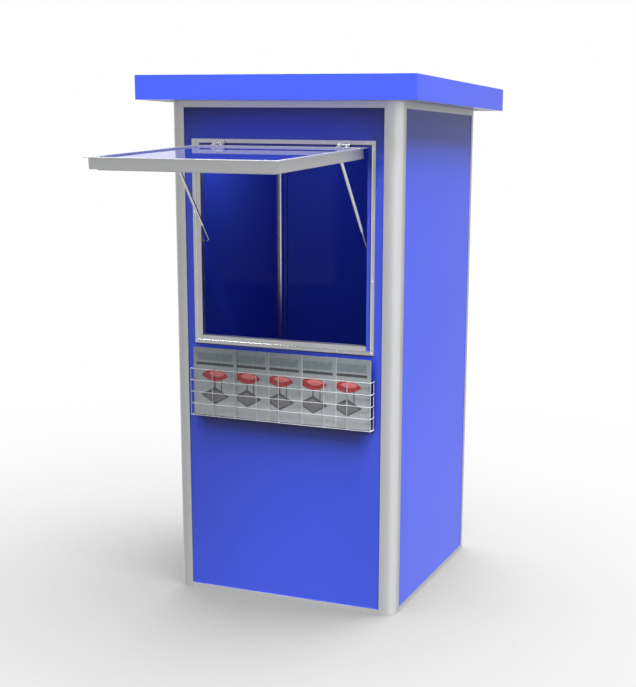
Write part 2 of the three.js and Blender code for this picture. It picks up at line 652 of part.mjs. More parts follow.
function addLevers() {
  const middle = (DOOR_IN + DOOR_OUT) / 2;
  for (const [name, face, way] of [['outer', DOOR_OUT, 1], ['inner', DOOR_IN, -1]]) {
    const at = (y) => [LEVER_X, y, LEVER_Z];
    const grip = face + way * LEVER_STAND;
    const spindle = bar(at(middle + way * GAP), at(grip), 5, 16);
    const neck = bar(at(face + way * 1), at(grip), 9, 20);
    const rose = bar(at(face + way * GAP), at(face + way * 7), ROSE_R, 32);
    const arm = bar([LEVER_X + 8, grip, LEVER_Z], [LEVER_X - LEVER_LENGTH, grip, LEVER_Z], 8.5, 16);
    add(model, `door_lever_${name}`, joined([spindle, neck, rose, arm]), STEEL);
  }
}

// ---- the whole booth ----------------------------------------------------------------------
addPosts();
addRails();
addWalls();
addFloor();
addRoof();
addWindowFrame();
addStayGuides();
addHatchFrame();
addHatchHinges();
addHatchCatch();
addStays();
addRack();
addMagazines();
addDoor();
addDoorHinge();
addLevers();

export default model;
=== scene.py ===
"""Looks of a newspaper kiosk: materials, edges, fixings, wire basket, magazines, lights and camera.

Everything is in metres in the CAD frame: the serving side faces -Y, Z is up, the floor is at 0.
"""
import math

import bmesh
import bpy
from mathutils import Matrix, Vector


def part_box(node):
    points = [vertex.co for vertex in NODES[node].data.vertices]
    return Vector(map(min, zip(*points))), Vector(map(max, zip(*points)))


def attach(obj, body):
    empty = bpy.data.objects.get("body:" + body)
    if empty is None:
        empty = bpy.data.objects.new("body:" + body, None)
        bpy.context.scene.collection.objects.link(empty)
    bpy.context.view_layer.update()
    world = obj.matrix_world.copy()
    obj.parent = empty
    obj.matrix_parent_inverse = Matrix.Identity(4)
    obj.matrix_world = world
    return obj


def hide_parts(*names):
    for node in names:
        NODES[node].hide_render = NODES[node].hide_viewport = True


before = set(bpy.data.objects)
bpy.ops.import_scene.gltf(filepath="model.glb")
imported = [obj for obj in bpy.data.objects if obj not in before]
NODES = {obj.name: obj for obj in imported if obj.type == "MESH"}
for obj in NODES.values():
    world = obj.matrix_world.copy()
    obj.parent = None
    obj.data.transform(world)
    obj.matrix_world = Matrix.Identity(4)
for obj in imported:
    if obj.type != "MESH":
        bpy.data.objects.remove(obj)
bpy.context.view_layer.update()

MM = 0.001
SHARP = math.radians(32)  # CAD edges above this angle stay sharp and take a bevel
TURN_SHARP = math.radians(35)  # the same for meshes made here

# ---- camera, at the photograph's viewpoint --------------------------------------------------
CAMERA_AT = Vector((2.1027, -4.9072, 1.8870))
CAMERA_YAW = 0.34587    # radians to the left of +Y
CAMERA_PITCH = 0.20479  # radians below level
CAMERA_ROLL = 0.01570   # radians, right side up
CAMERA_LENS = 63.26     # mm
SENSOR = 36.0           # mm
CAMERA_REACH = 200      # far clipping distance
CAMERA_SHIFT = (-0.11936, 0.08224)  # the picture is cropped, so its middle is off the lens axis


def make_camera():
    yaw, pitch, roll = CAMERA_YAW, CAMERA_PITCH, CAMERA_ROLL
    level = math.cos(pitch)
    forward = Vector((-math.sin(yaw) * level, math.cos(yaw) * level, -math.sin(pitch)))
    right = Vector((math.cos(yaw), math.sin(yaw), 0))
    up = right.cross(forward)
    turned_right = math.cos(roll) * right + math.sin(roll) * up
    turned_up = math.cos(roll) * up - math.sin(roll) * right
    camera = bpy.data.objects.new("camera", bpy.data.cameras.new("camera"))
    bpy.context.scene.collection.objects.link(camera)
    turn = Matrix((turned_right, turned_up, -forward)).transposed()
    camera.matrix_world = Matrix.Translation(CAMERA_AT) @ turn.to_4x4()
    camera.data.lens = CAMERA_LENS
    camera.data.sensor_width = SENSOR
    camera.data.shift_x, camera.data.shift_y = CAMERA_SHIFT
    camera.data.clip_end = CAMERA_REACH
    bpy.context.scene.camera = camera


# ---- material helpers -----------------------------------------------------------------------
class Shader:
    """A Principled material whose colour, roughness and bump come from its own nodes."""

    def __init__(self, name, color, roughness, metallic=0.0, **sockets):
        self.material = bpy.data.materials.new(name)
        self.material.use_nodes = True
        self.tree = self.material.node_tree
        self.bsdf = self.tree.nodes["Principled BSDF"]
        self.set("Base Color", (*color, 1))
        self.set("Roughness", roughness)
        self.set("Metallic", metallic)
        for socket, value in sockets.items():
            self.set(socket.replace("_", " "), value)
        self.coords = self.node("ShaderNodeTexCoord").outputs["Object"]
        self.material.diffuse_color = (*color, 1)

    def set(self, socket, value):
        self.bsdf.inputs[socket].default_value = value

    def node(self, kind, **values):
        node = self.tree.nodes.new(kind)
        for key, value in values.items():
            setattr(node, key, value)
        return node

    def link(self, source, target):
        self.tree.links.new(source, target)

    def noise(self, scale, detail, stretch=(1, 1, 1)):
        mapping = self.node("ShaderNodeMapping")
        mapping.inputs["Scale"].default_value = stretch
        self.link(self.coords, mapping.inputs["Vector"])
        noise = self.node("ShaderNodeTexNoise")
        noise.inputs["Scale"].default_value = scale
        noise.inputs["Detail"].default_value = detail
        self.link(mapping.outputs["Vector"], noise.inputs["Vector"])
        return noise.outputs["Fac"]

    def spread(self, value, low, high, steps=(0.3, 0.7)):
        """A value between the two steps, turned into the range low to high."""
        node = self.node("ShaderNodeMapRange")
        node.inputs["From Min"].default_value, node.inputs["From Max"].default_value = steps
        node.inputs["To Min"].default_value, node.inputs["To Max"].default_value = low, high
        self.link(value, node.inputs["Value"])
        return node.outputs["Result"]

    def math(self, operation, a, b=0.0):
        node = self.node("ShaderNodeMath", operation=operation)
        for slot, value in zip(node.inputs, (a, b)):
            if isinstance(value, (int, float)):
                slot.default_value = value
            else:
                self.link(value, slot)
        return node.outputs[0]

    def blend(self, factor, first, second):
        """Colour first where factor is 0, second where it is 1."""
        node = self.node("ShaderNodeMix", data_type="RGBA")
        for slot, value in ((node.inputs[0], factor), (node.inputs[6], first), (node.inputs[7], second)):
            if isinstance(value, bpy.types.NodeSocket):
                self.link(value, slot)
            else:
                slot.default_value = value if isinstance(value, (int, float)) else (*value, 1)
        return node.outputs[2]

    def color(self, socket):
        self.link(socket, self.bsdf.inputs["Base Color"])

    def rough(self, socket):
        self.link(socket, self.bsdf.inputs["Roughness"])

    def bump(self, height, strength, distance):
        node = self.node("ShaderNodeBump")
        node.inputs["Strength"].default_value = strength
        node.inputs["Distance"].default_value = distance
        self.link(height, node.inputs["Height"])
        self.link(node.outputs["Normal"], self.bsdf.inputs["Normal"])

    def split(self):
        node = self.node("ShaderNodeSeparateXYZ")
        self.link(self.coords, node.inputs[0])
        return node.outputs["X"], node.outputs["Y"], node.outputs["Z"]


# ---- materials ------------------------------------------------------------------------------
BLUE = (0.050, 0.099, 0.84)
BLUE_DEEP = (0.046, 0.092, 0.80)
# painted shade in a colour close under a roof or shelf: how far it looks, and how dark it goes
EAVES_REACH = 0.3          # how far the face looks for a roof or shelf
EAVES_LEAN = 0.9           # how much that look leans up, added to the face's unit normal
EAVES_OPEN = (0.25, 0.70)  # openness where the shade is deepest, and where it ends
EAVES_DEEPEST = 0.2
DRAW_LINES = 60.0          # how much finer an extrusion's draw lines are across than along


def painted_overhead_shade(s, color):
    """The colour with painted shade: darker where a roof or shelf stands close above the face."""
    normal = s.node("ShaderNodeVectorMath", operation="ADD")
    s.link(s.node("ShaderNodeNewGeometry").outputs["Normal"], normal.inputs[0])
    normal.inputs[1].default_value = (0, 0, EAVES_LEAN)
    shade = s.node("ShaderNodeAmbientOcclusion", samples=16)
    shade.inputs["Distance"].default_value = EAVES_REACH
    s.link(normal.outputs[0], shade.inputs["Normal"])
    light = s.spread(shade.outputs["AO"], EAVES_DEEPEST, 1.0, steps=EAVES_OPEN)
    return s.blend(light, (0.0, 0.0, 0.0), color)


def blue_laminate(name, low_rough, high_rough, deep=1.0, with_overhead_shade=False):
    """Smooth blue facing with faint cloudiness, wipe marks, an almost flat orange peel and optional
    painted shade.
    """
    # the factor scales both blues evenly down, as painted shade for faces that the lamps overlight
    light, dark = (tuple(c * deep for c in tint) for tint in (BLUE, BLUE_DEEP))
    s = Shader(name, light, low_rough, IOR=1.5)
    cloudy = s.blend(s.spread(s.noise(2.2, detail=4.0), 0.0, 1.0), light, dark)
    # close under a roof or shelf the colour is darkened as painted shade
    s.color(painted_overhead_shade(s, cloudy) if with_overhead_shade else cloudy)
    wipes = s.noise(9.0, detail=5.0, stretch=(1.0, 1.0, 0.35))
    s.rough(s.spread(wipes, low_rough, high_rough))
    s.bump(s.noise(160.0, detail=2.0), strength=0.035, distance=0.2 * MM)
    return s.material


def satin_aluminium(name, along, tint=(0.70, 0.705, 0.715), low=0.34, high=0.46):
    """Anodised extrusion with fine draw lines along its length."""
    s = Shader(name, tint, low, metallic=1.0)
    stretch = [1.0 if axis == along else DRAW_LINES for axis in "xyz"]
    lines = s.noise(14.0, detail=4.0, stretch=stretch)
    darker = tuple(c * 0.90 for c in tint)
    s.color(s.blend(s.spread(lines, 0.0, 1.0), tint, darker))
    patches = s.noise(6.0, detail=3.0)
    mixed = s.math("ADD", s.math("MULTIPLY", lines, 0.5), s.math("MULTIPLY", patches, 0.5))
    s.rough(s.spread(mixed, low, high))
    s.bump(lines, strength=0.05, distance=0.1 * MM)
    return s.material


def bright_steel(name, level=0.78, low=0.18, high=0.34):
    """Zinc plate with a soft mottle."""
    tint = (level, level * 1.01, level * 1.02)
    s = Shader(name, tint, low, metallic=1.0)
    mottle = s.noise(180.0, detail=3.0)
    s.color(s.blend(s.spread(mottle, 0.0, 1.0), tint, tuple(c * 0.8 for c in tint)))
    s.rough(s.spread(mottle, low, high))
    s.bump(mottle, strength=0.08, distance=0.1 * MM)
    return s.material


def coated_wire(name):
    """White-grey plastic coat with faint runs."""
    tint = (0.62, 0.63, 0.67)
    s = Shader(name, tint, 0.28, Coat_Weight=0.4, Coat_Roughness=0.12)
    drips = s.noise(220.0, detail=2.0)
    s.color(s.blend(s.spread(drips, 0.0, 1.0), tint, (0.50, 0.52, 0.58)))
    s.rough(s.spread(drips, 0.22, 0.36))
    s.bump(drips, strength=0.15, distance=0.15 * MM)
    return s.material


def pale_facing(name):
    """Off-white board with a fine grain."""
    tint = (0.78, 0.79, 0.81)
    s = Shader(name, tint, 0.45)
    cloud = s.noise(5.0, detail=4.0)
    s.color(s.blend(s.spread(cloud, 0.0, 1.0), tint, (0.72, 0.73, 0.76)))
    s.rough(s.spread(s.noise(60.0, detail=2.0), 0.38, 0.55))
    s.bump(s.noise(300.0, detail=2.0), strength=0.05, distance=0.1 * MM)
    return s.material


def studded_floor(name):
    """Dark rubber sheet with round studs in rows."""
    tint = (0.045, 0.05, 0.058)
    s = Shader(name, tint, 0.6)
    dots = s.node("ShaderNodeTexVoronoi", feature="F1")
    dots.inputs["Scale"].default_value = 34.0
    dots.inputs["Randomness"].default_value = 0.0
    s.link(s.coords, dots.inputs["Vector"])
    stud = s.spread(dots.outputs["Distance"], 1.0, 0.0, steps=(0.25, 0.4))
    s.color(s.blend(stud, tint, (0.075, 0.08, 0.09)))
    s.rough(s.spread(s.noise(40.0, detail=3.0), 0.5, 0.7))
    s.bump(stud, strength=0.6, distance=1.2 * MM)
    return s.material


def page_edges(name):
    """Stacked page edges: fine lines across the magazine's thickness."""
    s = Shader(name, (0.80, 0.79, 0.76), 0.7)
    lines = s.noise(30.0, detail=3.0, stretch=(0.4, 90.0, 0.4))
    s.color(s.blend(s.spread(lines, 0.0, 1.0), (0.84, 0.83, 0.80), (0.55, 0.55, 0.54)))
    s.rough(s.spread(lines, 0.6, 0.8))
    s.bump(lines, strength=0.3, distance=0.15 * MM)
    return s.material


# ---- mesh helpers ---------------------------------------------------------------------------
def new_object(name, mesh, materials, body):
    piece = bpy.data.objects.new(name, mesh)
    bpy.context.scene.collection.objects.link(piece)
    for material in materials:
        mesh.materials.append(material)
    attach(piece, body)
    return piece


def mesh_from(bm, name, smooth=True):
    mesh = bpy.data.meshes.new(name)
    bmesh.ops.recalc_face_normals(bm, faces=bm.faces)
    bm.to_mesh(mesh)
    bm.free()
    if smooth:
        mesh.shade_smooth()
        mesh.set_sharp_from_angle(angle=TURN_SHARP)
    return mesh


def rounded_path(points, radius, steps=5):
    """A polyline whose inner corners are arcs."""
    points = [Vector(p) for p in points]
    out = [points[0]]
    for before, corner, after in zip(points, points[1:], points[2:]):
        first = corner + (before - corner).normalized() * radius
        last = corner + (after - corner).normalized() * radius
        for i in range(steps + 1):
            t = i / steps
            out.append(first.lerp(corner, t).lerp(corner.lerp(last, t), t))
    return [*out, points[-1]]


def tube(bm, path, radius, sides=12):
    """A closed round tube along a path."""
    rings = []
    side = None
    for i, point in enumerate(path):
        ahead = path[min(i + 1, len(path) - 1)] - path[max(i - 1, 0)]
        ahead.normalize()
        if side is None:
            side = ahead.orthogonal().normalized()
        side = (side - ahead * side.dot(ahead)).normalized()
        other = ahead.cross(side)
        ring = []
        for k in range(sides):
            a = 2 * math.pi * k / sides
            ring.append(bm.verts.new(point + (side * math.cos(a) + other * math.sin(a)) * radius))
        rings.append(ring)
    for first, second in zip(rings, rings[1:]):
        for k in range(sides):
            bm.faces.new((first[k], first[(k + 1) % sides], second[(k + 1) % sides], second[k]))
    bm.faces.new(rings[0])
    bm.faces.new(rings[-1])


def turned(bm, at, normal, profile, sides=20):
    """A lathed form: profile is (radius, height) from its outer edge to its middle, along normal."""
    normal = Vector(normal).normalized()
    side = normal.orthogonal().normalized()
    other = normal.cross(side)
    rings = []
    for radius, height in profile:
        ring = []
        for k in range(sides):
            a = 2 * math.pi * k / sides
            ring.append(bm.verts.new(Vector(at) + normal * height
                                     + (side * math.cos(a) + other * math.sin(a)) * radius))
        rings.append(ring)
    for first, second in zip(rings, rings[1:]):
        for k in range(sides):
            bm.faces.new((first[k], first[(k + 1) % sides], second[(k + 1) % sides], second[k]))
    bm.faces.new(rings[0])
    bm.faces.new(rings[-1])


# ---- CAD nodes ------------------------------------------------------------------------------
WELD = 0.01 * MM  # corners closer than this are one corner
# widths of the bevels: small fittings, the hatch's sheet, most pieces, roof boards, door levers
FINE_EDGE = 0.25 * MM
SHEET_EDGE = 0.4 * MM
EDGE = 0.5 * MM
BOARD_EDGE = 1.0 * MM
LEVER_EDGE = 1.6 * MM


def smooth_group():
    """Geometry nodes that join split corners and shade by angle."""
    group = bpy.data.node_groups.new("smooth_by_angle", "GeometryNodeTree")
    group.interface.new_socket("Geometry", in_out="INPUT", socket_type="NodeSocketGeometry")
    group.interface.new_socket("Geometry", in_out="OUTPUT", socket_type="NodeSocketGeometry")
    nodes, links = group.nodes, group.links
    start = nodes.new("NodeGroupInput")
    drop = nodes.new("GeometryNodeRemoveAttribute")
    drop.inputs["Name"].default_value = "custom_normal"
    merge = nodes.new("GeometryNodeMergeByDistance")
    merge.inputs["Distance"].default_value = WELD
    faces = nodes.new("GeometryNodeSetShadeSmooth")
    edges = nodes.new("GeometryNodeSetShadeSmooth")
    edges.domain = "EDGE"
    angle = nodes.new("GeometryNodeInputMeshEdgeAngle")
    sharp = nodes.new("ShaderNodeMath")
    sharp.operation = "GREATER_THAN"
    sharp.inputs[1].default_value = SHARP
    edges.inputs["Shade Smooth"].default_value = False
    end = nodes.new("NodeGroupOutput")
    links.new(start.outputs[0], drop.inputs["Geometry"])
    links.new(drop.outputs["Geometry"], merge.inputs["Geometry"])
    links.new(merge.outputs["Geometry"], faces.inputs["Geometry"])
    links.new(faces.outputs["Geometry"], edges.inputs["Geometry"])
    links.new(angle.outputs["Unsigned Angle"], sharp.inputs[0])
    links.new(sharp.outputs[0], edges.inputs["Selection"])
    links.new(edges.outputs["Geometry"], end.inputs[0])
    return group


def finish_edges(node, width):
    """Smooth shading by angle, and a fine bevel on the CAD solid's edges."""
    NODES[node].modifiers.new("smooth", "NODES").node_group = SMOOTH
    bevel = NODES[node].modifiers.new("edge", "BEVEL")
    bevel.width = width
    bevel.segments = 2
    bevel.limit_method = "ANGLE"
    bevel.angle_limit = SHARP
    bevel.harden_normals = True
    bevel.use_clamp_overlap = True


def dress(node, material, width=EDGE):
    """One material, smooth shading and a bevel on a CAD node."""
    data = NODES[node].data
    data.materials.clear()
    data.materials.append(material)
    finish_edges(node, width)


STEEL = bright_steel("bright_steel")
SCREW = bright_steel("screw_steel", level=0.96, low=0.30, high=0.42)
SMOOTH = smooth_group()


def dress_structure():
    """A material and softened edges for every CAD node that no piece replaces."""
    wall = blue_laminate("blue_wall", 0.035, 0.07)
    roof = blue_laminate("blue_roof", 0.05, 0.10)
    # the hatch's top is the walls' blue at 0.3: painted shade against the overhead lamps
    gloss = blue_laminate("blue_hatch", 0.015, 0.03, deep=0.3)
    upright = satin_aluminium("aluminium_upright", "z")
    across = satin_aluminium("aluminium_across", "x")
    deep = satin_aluminium("aluminium_deep", "y")
    for node in NODES:
        if node.startswith(("corner_post", "window_jamb")):
            dress(node, upright)
        elif node.endswith(("rail_left", "rail_right")):
            dress(node, deep)
        elif "_rail_" in node or node.startswith("window_"):
            dress(node, across)
        elif node == "hatch_sheet":
            dress(node, gloss, SHEET_EDGE)
        elif node.startswith("fascia"):
            dress(node, roof, BOARD_EDGE)
        elif node == "roof_deck":
            # the roof deck is the walls' blue at 0.4: painted shade against the overhead lamps
            dress(node, blue_laminate("blue_deck", 0.38, 0.55, deep=0.4), BOARD_EDGE)
        elif node == "ceiling_panel":
            dress(node, pale_facing("pale_ceiling"))
        elif node == "floor_panel":
            dress(node, studded_floor("studded_floor"))
        elif node == "front_panel":
            # the front panel's colour carries painted shade under the roof, the open hatch and the rack
            dress(node, blue_laminate("blue_front", 0.035, 0.07, with_overhead_shade=True))
        elif node.endswith("_panel"):
            dress(node, wall)
        elif node.startswith(("magazine", "rack")):
            continue
        elif node.startswith("door_lever"):
            dress(node, STEEL, LEVER_EDGE)
        else:
            dress(node, STEEL, FINE_EDGE)
    add_linings(wall)
    add_corner_trims()
    bead = satin_aluminium("aluminium_bead", "z", tint=(0.86, 0.865, 0.875), low=0.2, high=0.3)
    add_frame_bead(bead)


# ---- cabin linings --------------------------------------------------------------------------
def slab(bm, low, high, edge):
    """A board with softened edges."""
    made = bmesh.ops.create_cube(bm, size=1.0)["verts"]
    low, high = Vector(low), Vector(high)
    bmesh.ops.scale(bm, vec=high - low, verts=made)
    bmesh.ops.translate(bm, vec=(low + high) / 2, verts=made)
    sides = list({e for v in made for e in v.link_edges})
    bmesh.ops.bevel(bm, geom=sides, offset=edge, segments=2, profile=0.5, affect="EDGES")


GROOVE_INSET = 0.8 * MM  # between a lining board's side and the bottom of its groove
LINING_CLEAR = 5 * MM    # round the door and the strike
LINING_SHORT = 12 * MM   # at each end of the walls' height
LINING_EDGE = 0.8 * MM


def add_linings(wall):
    """Blue boards in the rear posts' inner grooves, beside the door and clear of the strike."""
    door_low, door_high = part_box("door_panel")
    panel_low, panel_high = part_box("right_panel")
    strike_low, strike_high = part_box("door_strike")
    out = panel_high.y - GROOVE_INSET
    low, high = panel_low.z + LINING_SHORT, panel_high.z - LINING_SHORT
    boards = [
        (-out, door_low.x - LINING_CLEAR, low, high),
        (door_high.x + LINING_CLEAR, out, low, strike_low.z - LINING_CLEAR),
        (door_high.x + LINING_CLEAR, out, strike_high.z + LINING_CLEAR, high),
    ]
    bm = bmesh.new()
    for x0, x1, z0, z1 in boards:
        slab(bm, (x0, door_low.y, z0), (x1, door_high.y, z1), LINING_EDGE)
    mesh = mesh_from(bm, "door_jamb_linings")
    new_object("door_jamb_linings", mesh, [wall], "kiosk")


TRIM_LEG = 21 * MM    # from the corner to the trim's outer edge, along each wall
TRIM_HEEL = 13 * MM   # from the corner to the trim's back
TRIM_CROWN = 5 * MM   # how far its face swells
TRIM_STEPS = 14
TRIM_GAP = 0.3 * MM   # off the posts' inner faces
TRIM_SHORT = 1 * MM   # at the floor and the ceiling


def add_corner_trims():
    """Rounded metal trims up the cabin's corners, over the posts' inner faces."""
    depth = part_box("bottom_rail_front")[1].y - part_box("corner_post_front_left")[0].y + TRIM_GAP
    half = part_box("corner_post_front_right")[1].x
    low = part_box("floor_panel")[1].z + TRIM_SHORT
    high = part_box("ceiling_panel")[0].z - TRIM_SHORT
    section = [(depth + TRIM_HEEL, depth), (depth + TRIM_LEG, depth)]
    for i in range(1, TRIM_STEPS):
        t = i / TRIM_STEPS
        bulge = TRIM_CROWN * math.sin(math.pi * t)
        section.append((depth + TRIM_LEG * (1 - t) + bulge, depth + TRIM_LEG * t + bulge))
    section += [(depth, depth + TRIM_LEG), (depth, depth + TRIM_HEEL)]
    bm = bmesh.new()
    for x_way, y_way in ((-1, -1), (1, -1), (1, 1), (-1, 1)):
        rings = [[bm.verts.new((x_way * (half - a), y_way * (half - b), z)) for a, b in section]
                 for z in (low, high)]
        count = len(section)
        for k in range(count):
            n = (k + 1) % count
            bm.faces.new((rings[0][k], rings[0][n], rings[1][n], rings[1][k]))
        for ring in rings:
            bm.faces.new(ring)
    mesh = mesh_from(bm, "corner_trims")
    bright = satin_aluminium("corner_trim", "z", tint=(0.88, 0.885, 0.90), low=0.18, high=0.26)
    new_object("corner_trims", mesh, [bright], "kiosk")


BEAD_RADIUS = 1.6 * MM
BEAD_BEND = 2 * MM
BEAD_INSET = 2 * MM       # from the strip's inner side
BEAD_PROUD = 0.9 * MM     # bead's middle, off the frame's face
BEAD_ABOVE_SILL = 14 * MM


def add_frame_bead(aluminium):
    """Round bead down the window frame's sides and along its sill."""
    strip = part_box("window_jamb_right")
    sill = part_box("window_sill")
    x = strip[0].x + BEAD_INSET
    y = strip[0].y - BEAD_PROUD
    low, high = sill[0].z + BEAD_ABOVE_SILL, strip[1].z
    bm = bmesh.new()
    run = [(-x, y, high), (-x, y, low), (x, y, low), (x, y, high)]
    tube(bm, rounded_path(run, BEAD_BEND), BEAD_RADIUS)
    new_object("frame_bead", mesh_from(bm, "frame_bead"), [aluminium], "kiosk")


# ---- fixings --------------------------------------------------------------------------------
HATCH_AXIS = Vector((0, -510, 1900)) * MM
HATCH_DROOP = math.radians(3.5)
HINGE_LEAF_DROP = -5.9 * MM  # upper face of the moving hinge leaf, from the hinge line
RIM_DROP = -8.0 * MM         # upper face of the hatch's rim, from the hinge line
HATCH_FAR = 776 * MM         # screws of the far rail, from the hinge line
HATCH_NEAR = 22 * MM         # screws of the near rail
RIM_PITCH = 45 * MM          # between the two screws of a pair on the rim
RIM_INSET = 12 * MM          # from the rim's side to the nearest screws
HEAD_RADIUS = 2.8 * MM
HEAD_PROUD = 1.4 * MM
HEAD_SUNK = 0.4 * MM         # how far a head goes into the face behind it
FRAME_HEAD_PROUD = 1.2 * MM
FRAME_INSET = 8 * MM         # from the window frame's outer edges
FRAME_PAIR = 25 * MM         # between the two screws at an upper corner
HEAD_SCREWS_X = (0.18, 0.06)  # from the frame's middle, on each side
SILL_SCREWS_X = (0.24, 0.08)
JAMB_SCREWS_UP = (0.03, 0.35, 0.65, 0.97)  # parts of the jamb's height
LEAF_SCREWS_X = 20 * MM      # from a hatch hinge's middle
LEAF_PROUD = 2.3 * MM        # the fixed leaf, off the frame's face
LEAF_SCREW_DROP = 6 * MM     # from the fixed leaf's upper edge
FLAP_SCREW_AT = 21 * MM      # from the hinge line, on the moving leaf
DOOR_HEAD_RADIUS = 2.6 * MM
DOOR_HEAD_PROUD = 1.0 * MM
DOOR_SCREW_ROWS = 10
POST_SCREW_INSET = 6 * MM    # from the post leaf's outer edge
DOOR_SCREW_INSET = 8 * MM    # from the door leaf's outer edge
POST_LEAF_FACE = 2 * MM      # off the post
DOOR_LEAF_FACE = 2.2 * MM    # off the door
RIVET_INSET = 12 * MM        # from a rail's end
RIVET_PROUD = 0.7 * MM


def screws(name, body, places, normal, radius=HEAD_RADIUS, proud=HEAD_PROUD):
    """Domed screw heads with a round socket, one mesh for a row of them."""
    bm = bmesh.new()
    socket = radius * 0.42
    profile = [(radius, -HEAD_SUNK), (radius, proud * 0.35), (radius * 0.86, proud * 0.75),
               (radius * 0.62, proud), (socket, proud), (socket * 0.92, proud * 0.3)]
    for place in places:
        turned(bm, place, normal, profile)
    return new_object(name, mesh_from(bm, name), [SCREW], body)


def add_screws():
    """Screws round the window frame, then the hinges', the hatch rim's and the rails'."""
    head_low, head_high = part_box("window_head")
    sill_low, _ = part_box("window_sill")
    front = head_low.y
    z = (head_low.z + head_high.z) / 2
    corner = head_high.x - FRAME_INSET
    head_x = (corner, corner - FRAME_PAIR, *HEAD_SCREWS_X)
    head = [(side * x, front, z) for side in (-1, 1) for x in head_x]
    sill_z = sill_low.z + FRAME_INSET
    sill = [(side * x, front, sill_z) for side in (-1, 1) for x in (corner, *SILL_SCREWS_X)]
    up = [sill_z + (z - sill_z) * t for t in JAMB_SCREWS_UP]
    jamb = [(side * corner, front, height) for side in (-1, 1) for height in up]
    places = head + sill + jamb
    screws("window_screws", "kiosk", places, (0, -1, 0), proud=FRAME_HEAD_PROUD)
    add_hinge_screws(front)
    add_rim_screws()
    add_corner_rivets()


def add_hinge_screws(front):
    """Two screws in each hatch hinge leaf, and pairs down the door's strip hinge."""
    plates = []
    flaps = []
    out, along = hatch_axes()
    for name in ("left", "right"):
        low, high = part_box(f"hatch_hinge_fixed_{name}")
        middle = (low.x + high.x) / 2
        for x in (middle - LEAF_SCREWS_X, middle + LEAF_SCREWS_X):
            plates.append((x, front - LEAF_PROUD, high.z - LEAF_SCREW_DROP))
            flaps.append(HATCH_AXIS + Vector((x, 0, 0)) + along * FLAP_SCREW_AT + out * HINGE_LEAF_DROP)
    screws("hinge_screws_fixed", "kiosk", plates, (0, -1, 0))
    screws("hinge_screws_hatch", "hatch", flaps, out)
    low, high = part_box("door_hinge_moving")
    height = high.z - low.z
    rows = [low.z + height * (i + 0.5) / DOOR_SCREW_ROWS for i in range(DOOR_SCREW_ROWS)]
    post_low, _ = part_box("door_hinge_fixed")
    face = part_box("corner_post_rear_left")[1].y
    door_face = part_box("door_panel")[1].y
    on_post = [(post_low.x + POST_SCREW_INSET, face + POST_LEAF_FACE, row) for row in rows]
    on_door = [(high.x - DOOR_SCREW_INSET, door_face + DOOR_LEAF_FACE, row) for row in rows]
    screws("hinge_screws_post", "kiosk", on_post, (0, 1, 0), DOOR_HEAD_RADIUS, DOOR_HEAD_PROUD)
    screws("hinge_screws_door", "door", on_door, (0, 1, 0), DOOR_HEAD_RADIUS, DOOR_HEAD_PROUD)


def hatch_axes():
    """The open hatch's upward normal, and the way from its hinge line to its free edge."""
    out = Vector((0, -math.sin(HATCH_DROOP), math.cos(HATCH_DROOP)))
    along = Vector((0, -math.cos(HATCH_DROOP), -math.sin(HATCH_DROOP)))
    return out, along


def add_rim_screws():
    """Pairs of screws at the hatch rim's corners, and three down each side."""
    out, along = hatch_axes()
    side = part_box("hatch_rail_front")[1].x - RIM_INSET
    along_side = (HATCH_NEAR + RIM_PITCH, HATCH_FAR / 2, HATCH_FAR - RIM_PITCH)
    pair = (side, side - RIM_PITCH)
    spots = [(way * x, d) for way in (-1, 1) for d in (HATCH_NEAR, HATCH_FAR) for x in pair]
    spots += [(way * side, d) for way in (-1, 1) for d in along_side]
    places = [HATCH_AXIS + Vector((x, 0, 0)) + along * d + out * RIM_DROP for x, d in spots]
    screws("rim_screws", "hatch", places, out)


def add_corner_rivets():
    """Flat rivets at the ends of the bottom and top rails, on the three sides that have no door."""
    spots = []
    for name, normal in (("front", (0, -1, 0)), ("right", (1, 0, 0)), ("left", (-1, 0, 0))):
        n = Vector(normal)
        for level in ("bottom", "top"):
            low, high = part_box(f"{level}_rail_{name}")
            middle = (low + high) / 2
            across = Vector((abs(n.y), abs(n.x), 0))
            reach = (high - low).dot(across) / 2 - RIVET_INSET
            face = middle + n * (high - low).dot(Vector((abs(n.x), abs(n.y), 0))) / 2
            spots += [(face + across * way * reach, normal) for way in (-1, 1)]
    for i, (place, normal) in enumerate(spots):
        screws(f"rail_rivet_{i + 1}", "kiosk", [place], normal, proud=RIVET_PROUD)


# ---- magazine rack --------------------------------------------------------------------------
WIRE_RADIUS = 1.55 * MM
RACK_HOOPS = 5
RACK_UPRIGHTS = 9
RACK_BEND = 5 * MM
UPRIGHT_BEND = 4 * MM
HOOP_ABOVE_FLOOR = 6 * MM
LAP = 1.6 * WIRE_RADIUS  # between the middles of two wires that touch and are welded


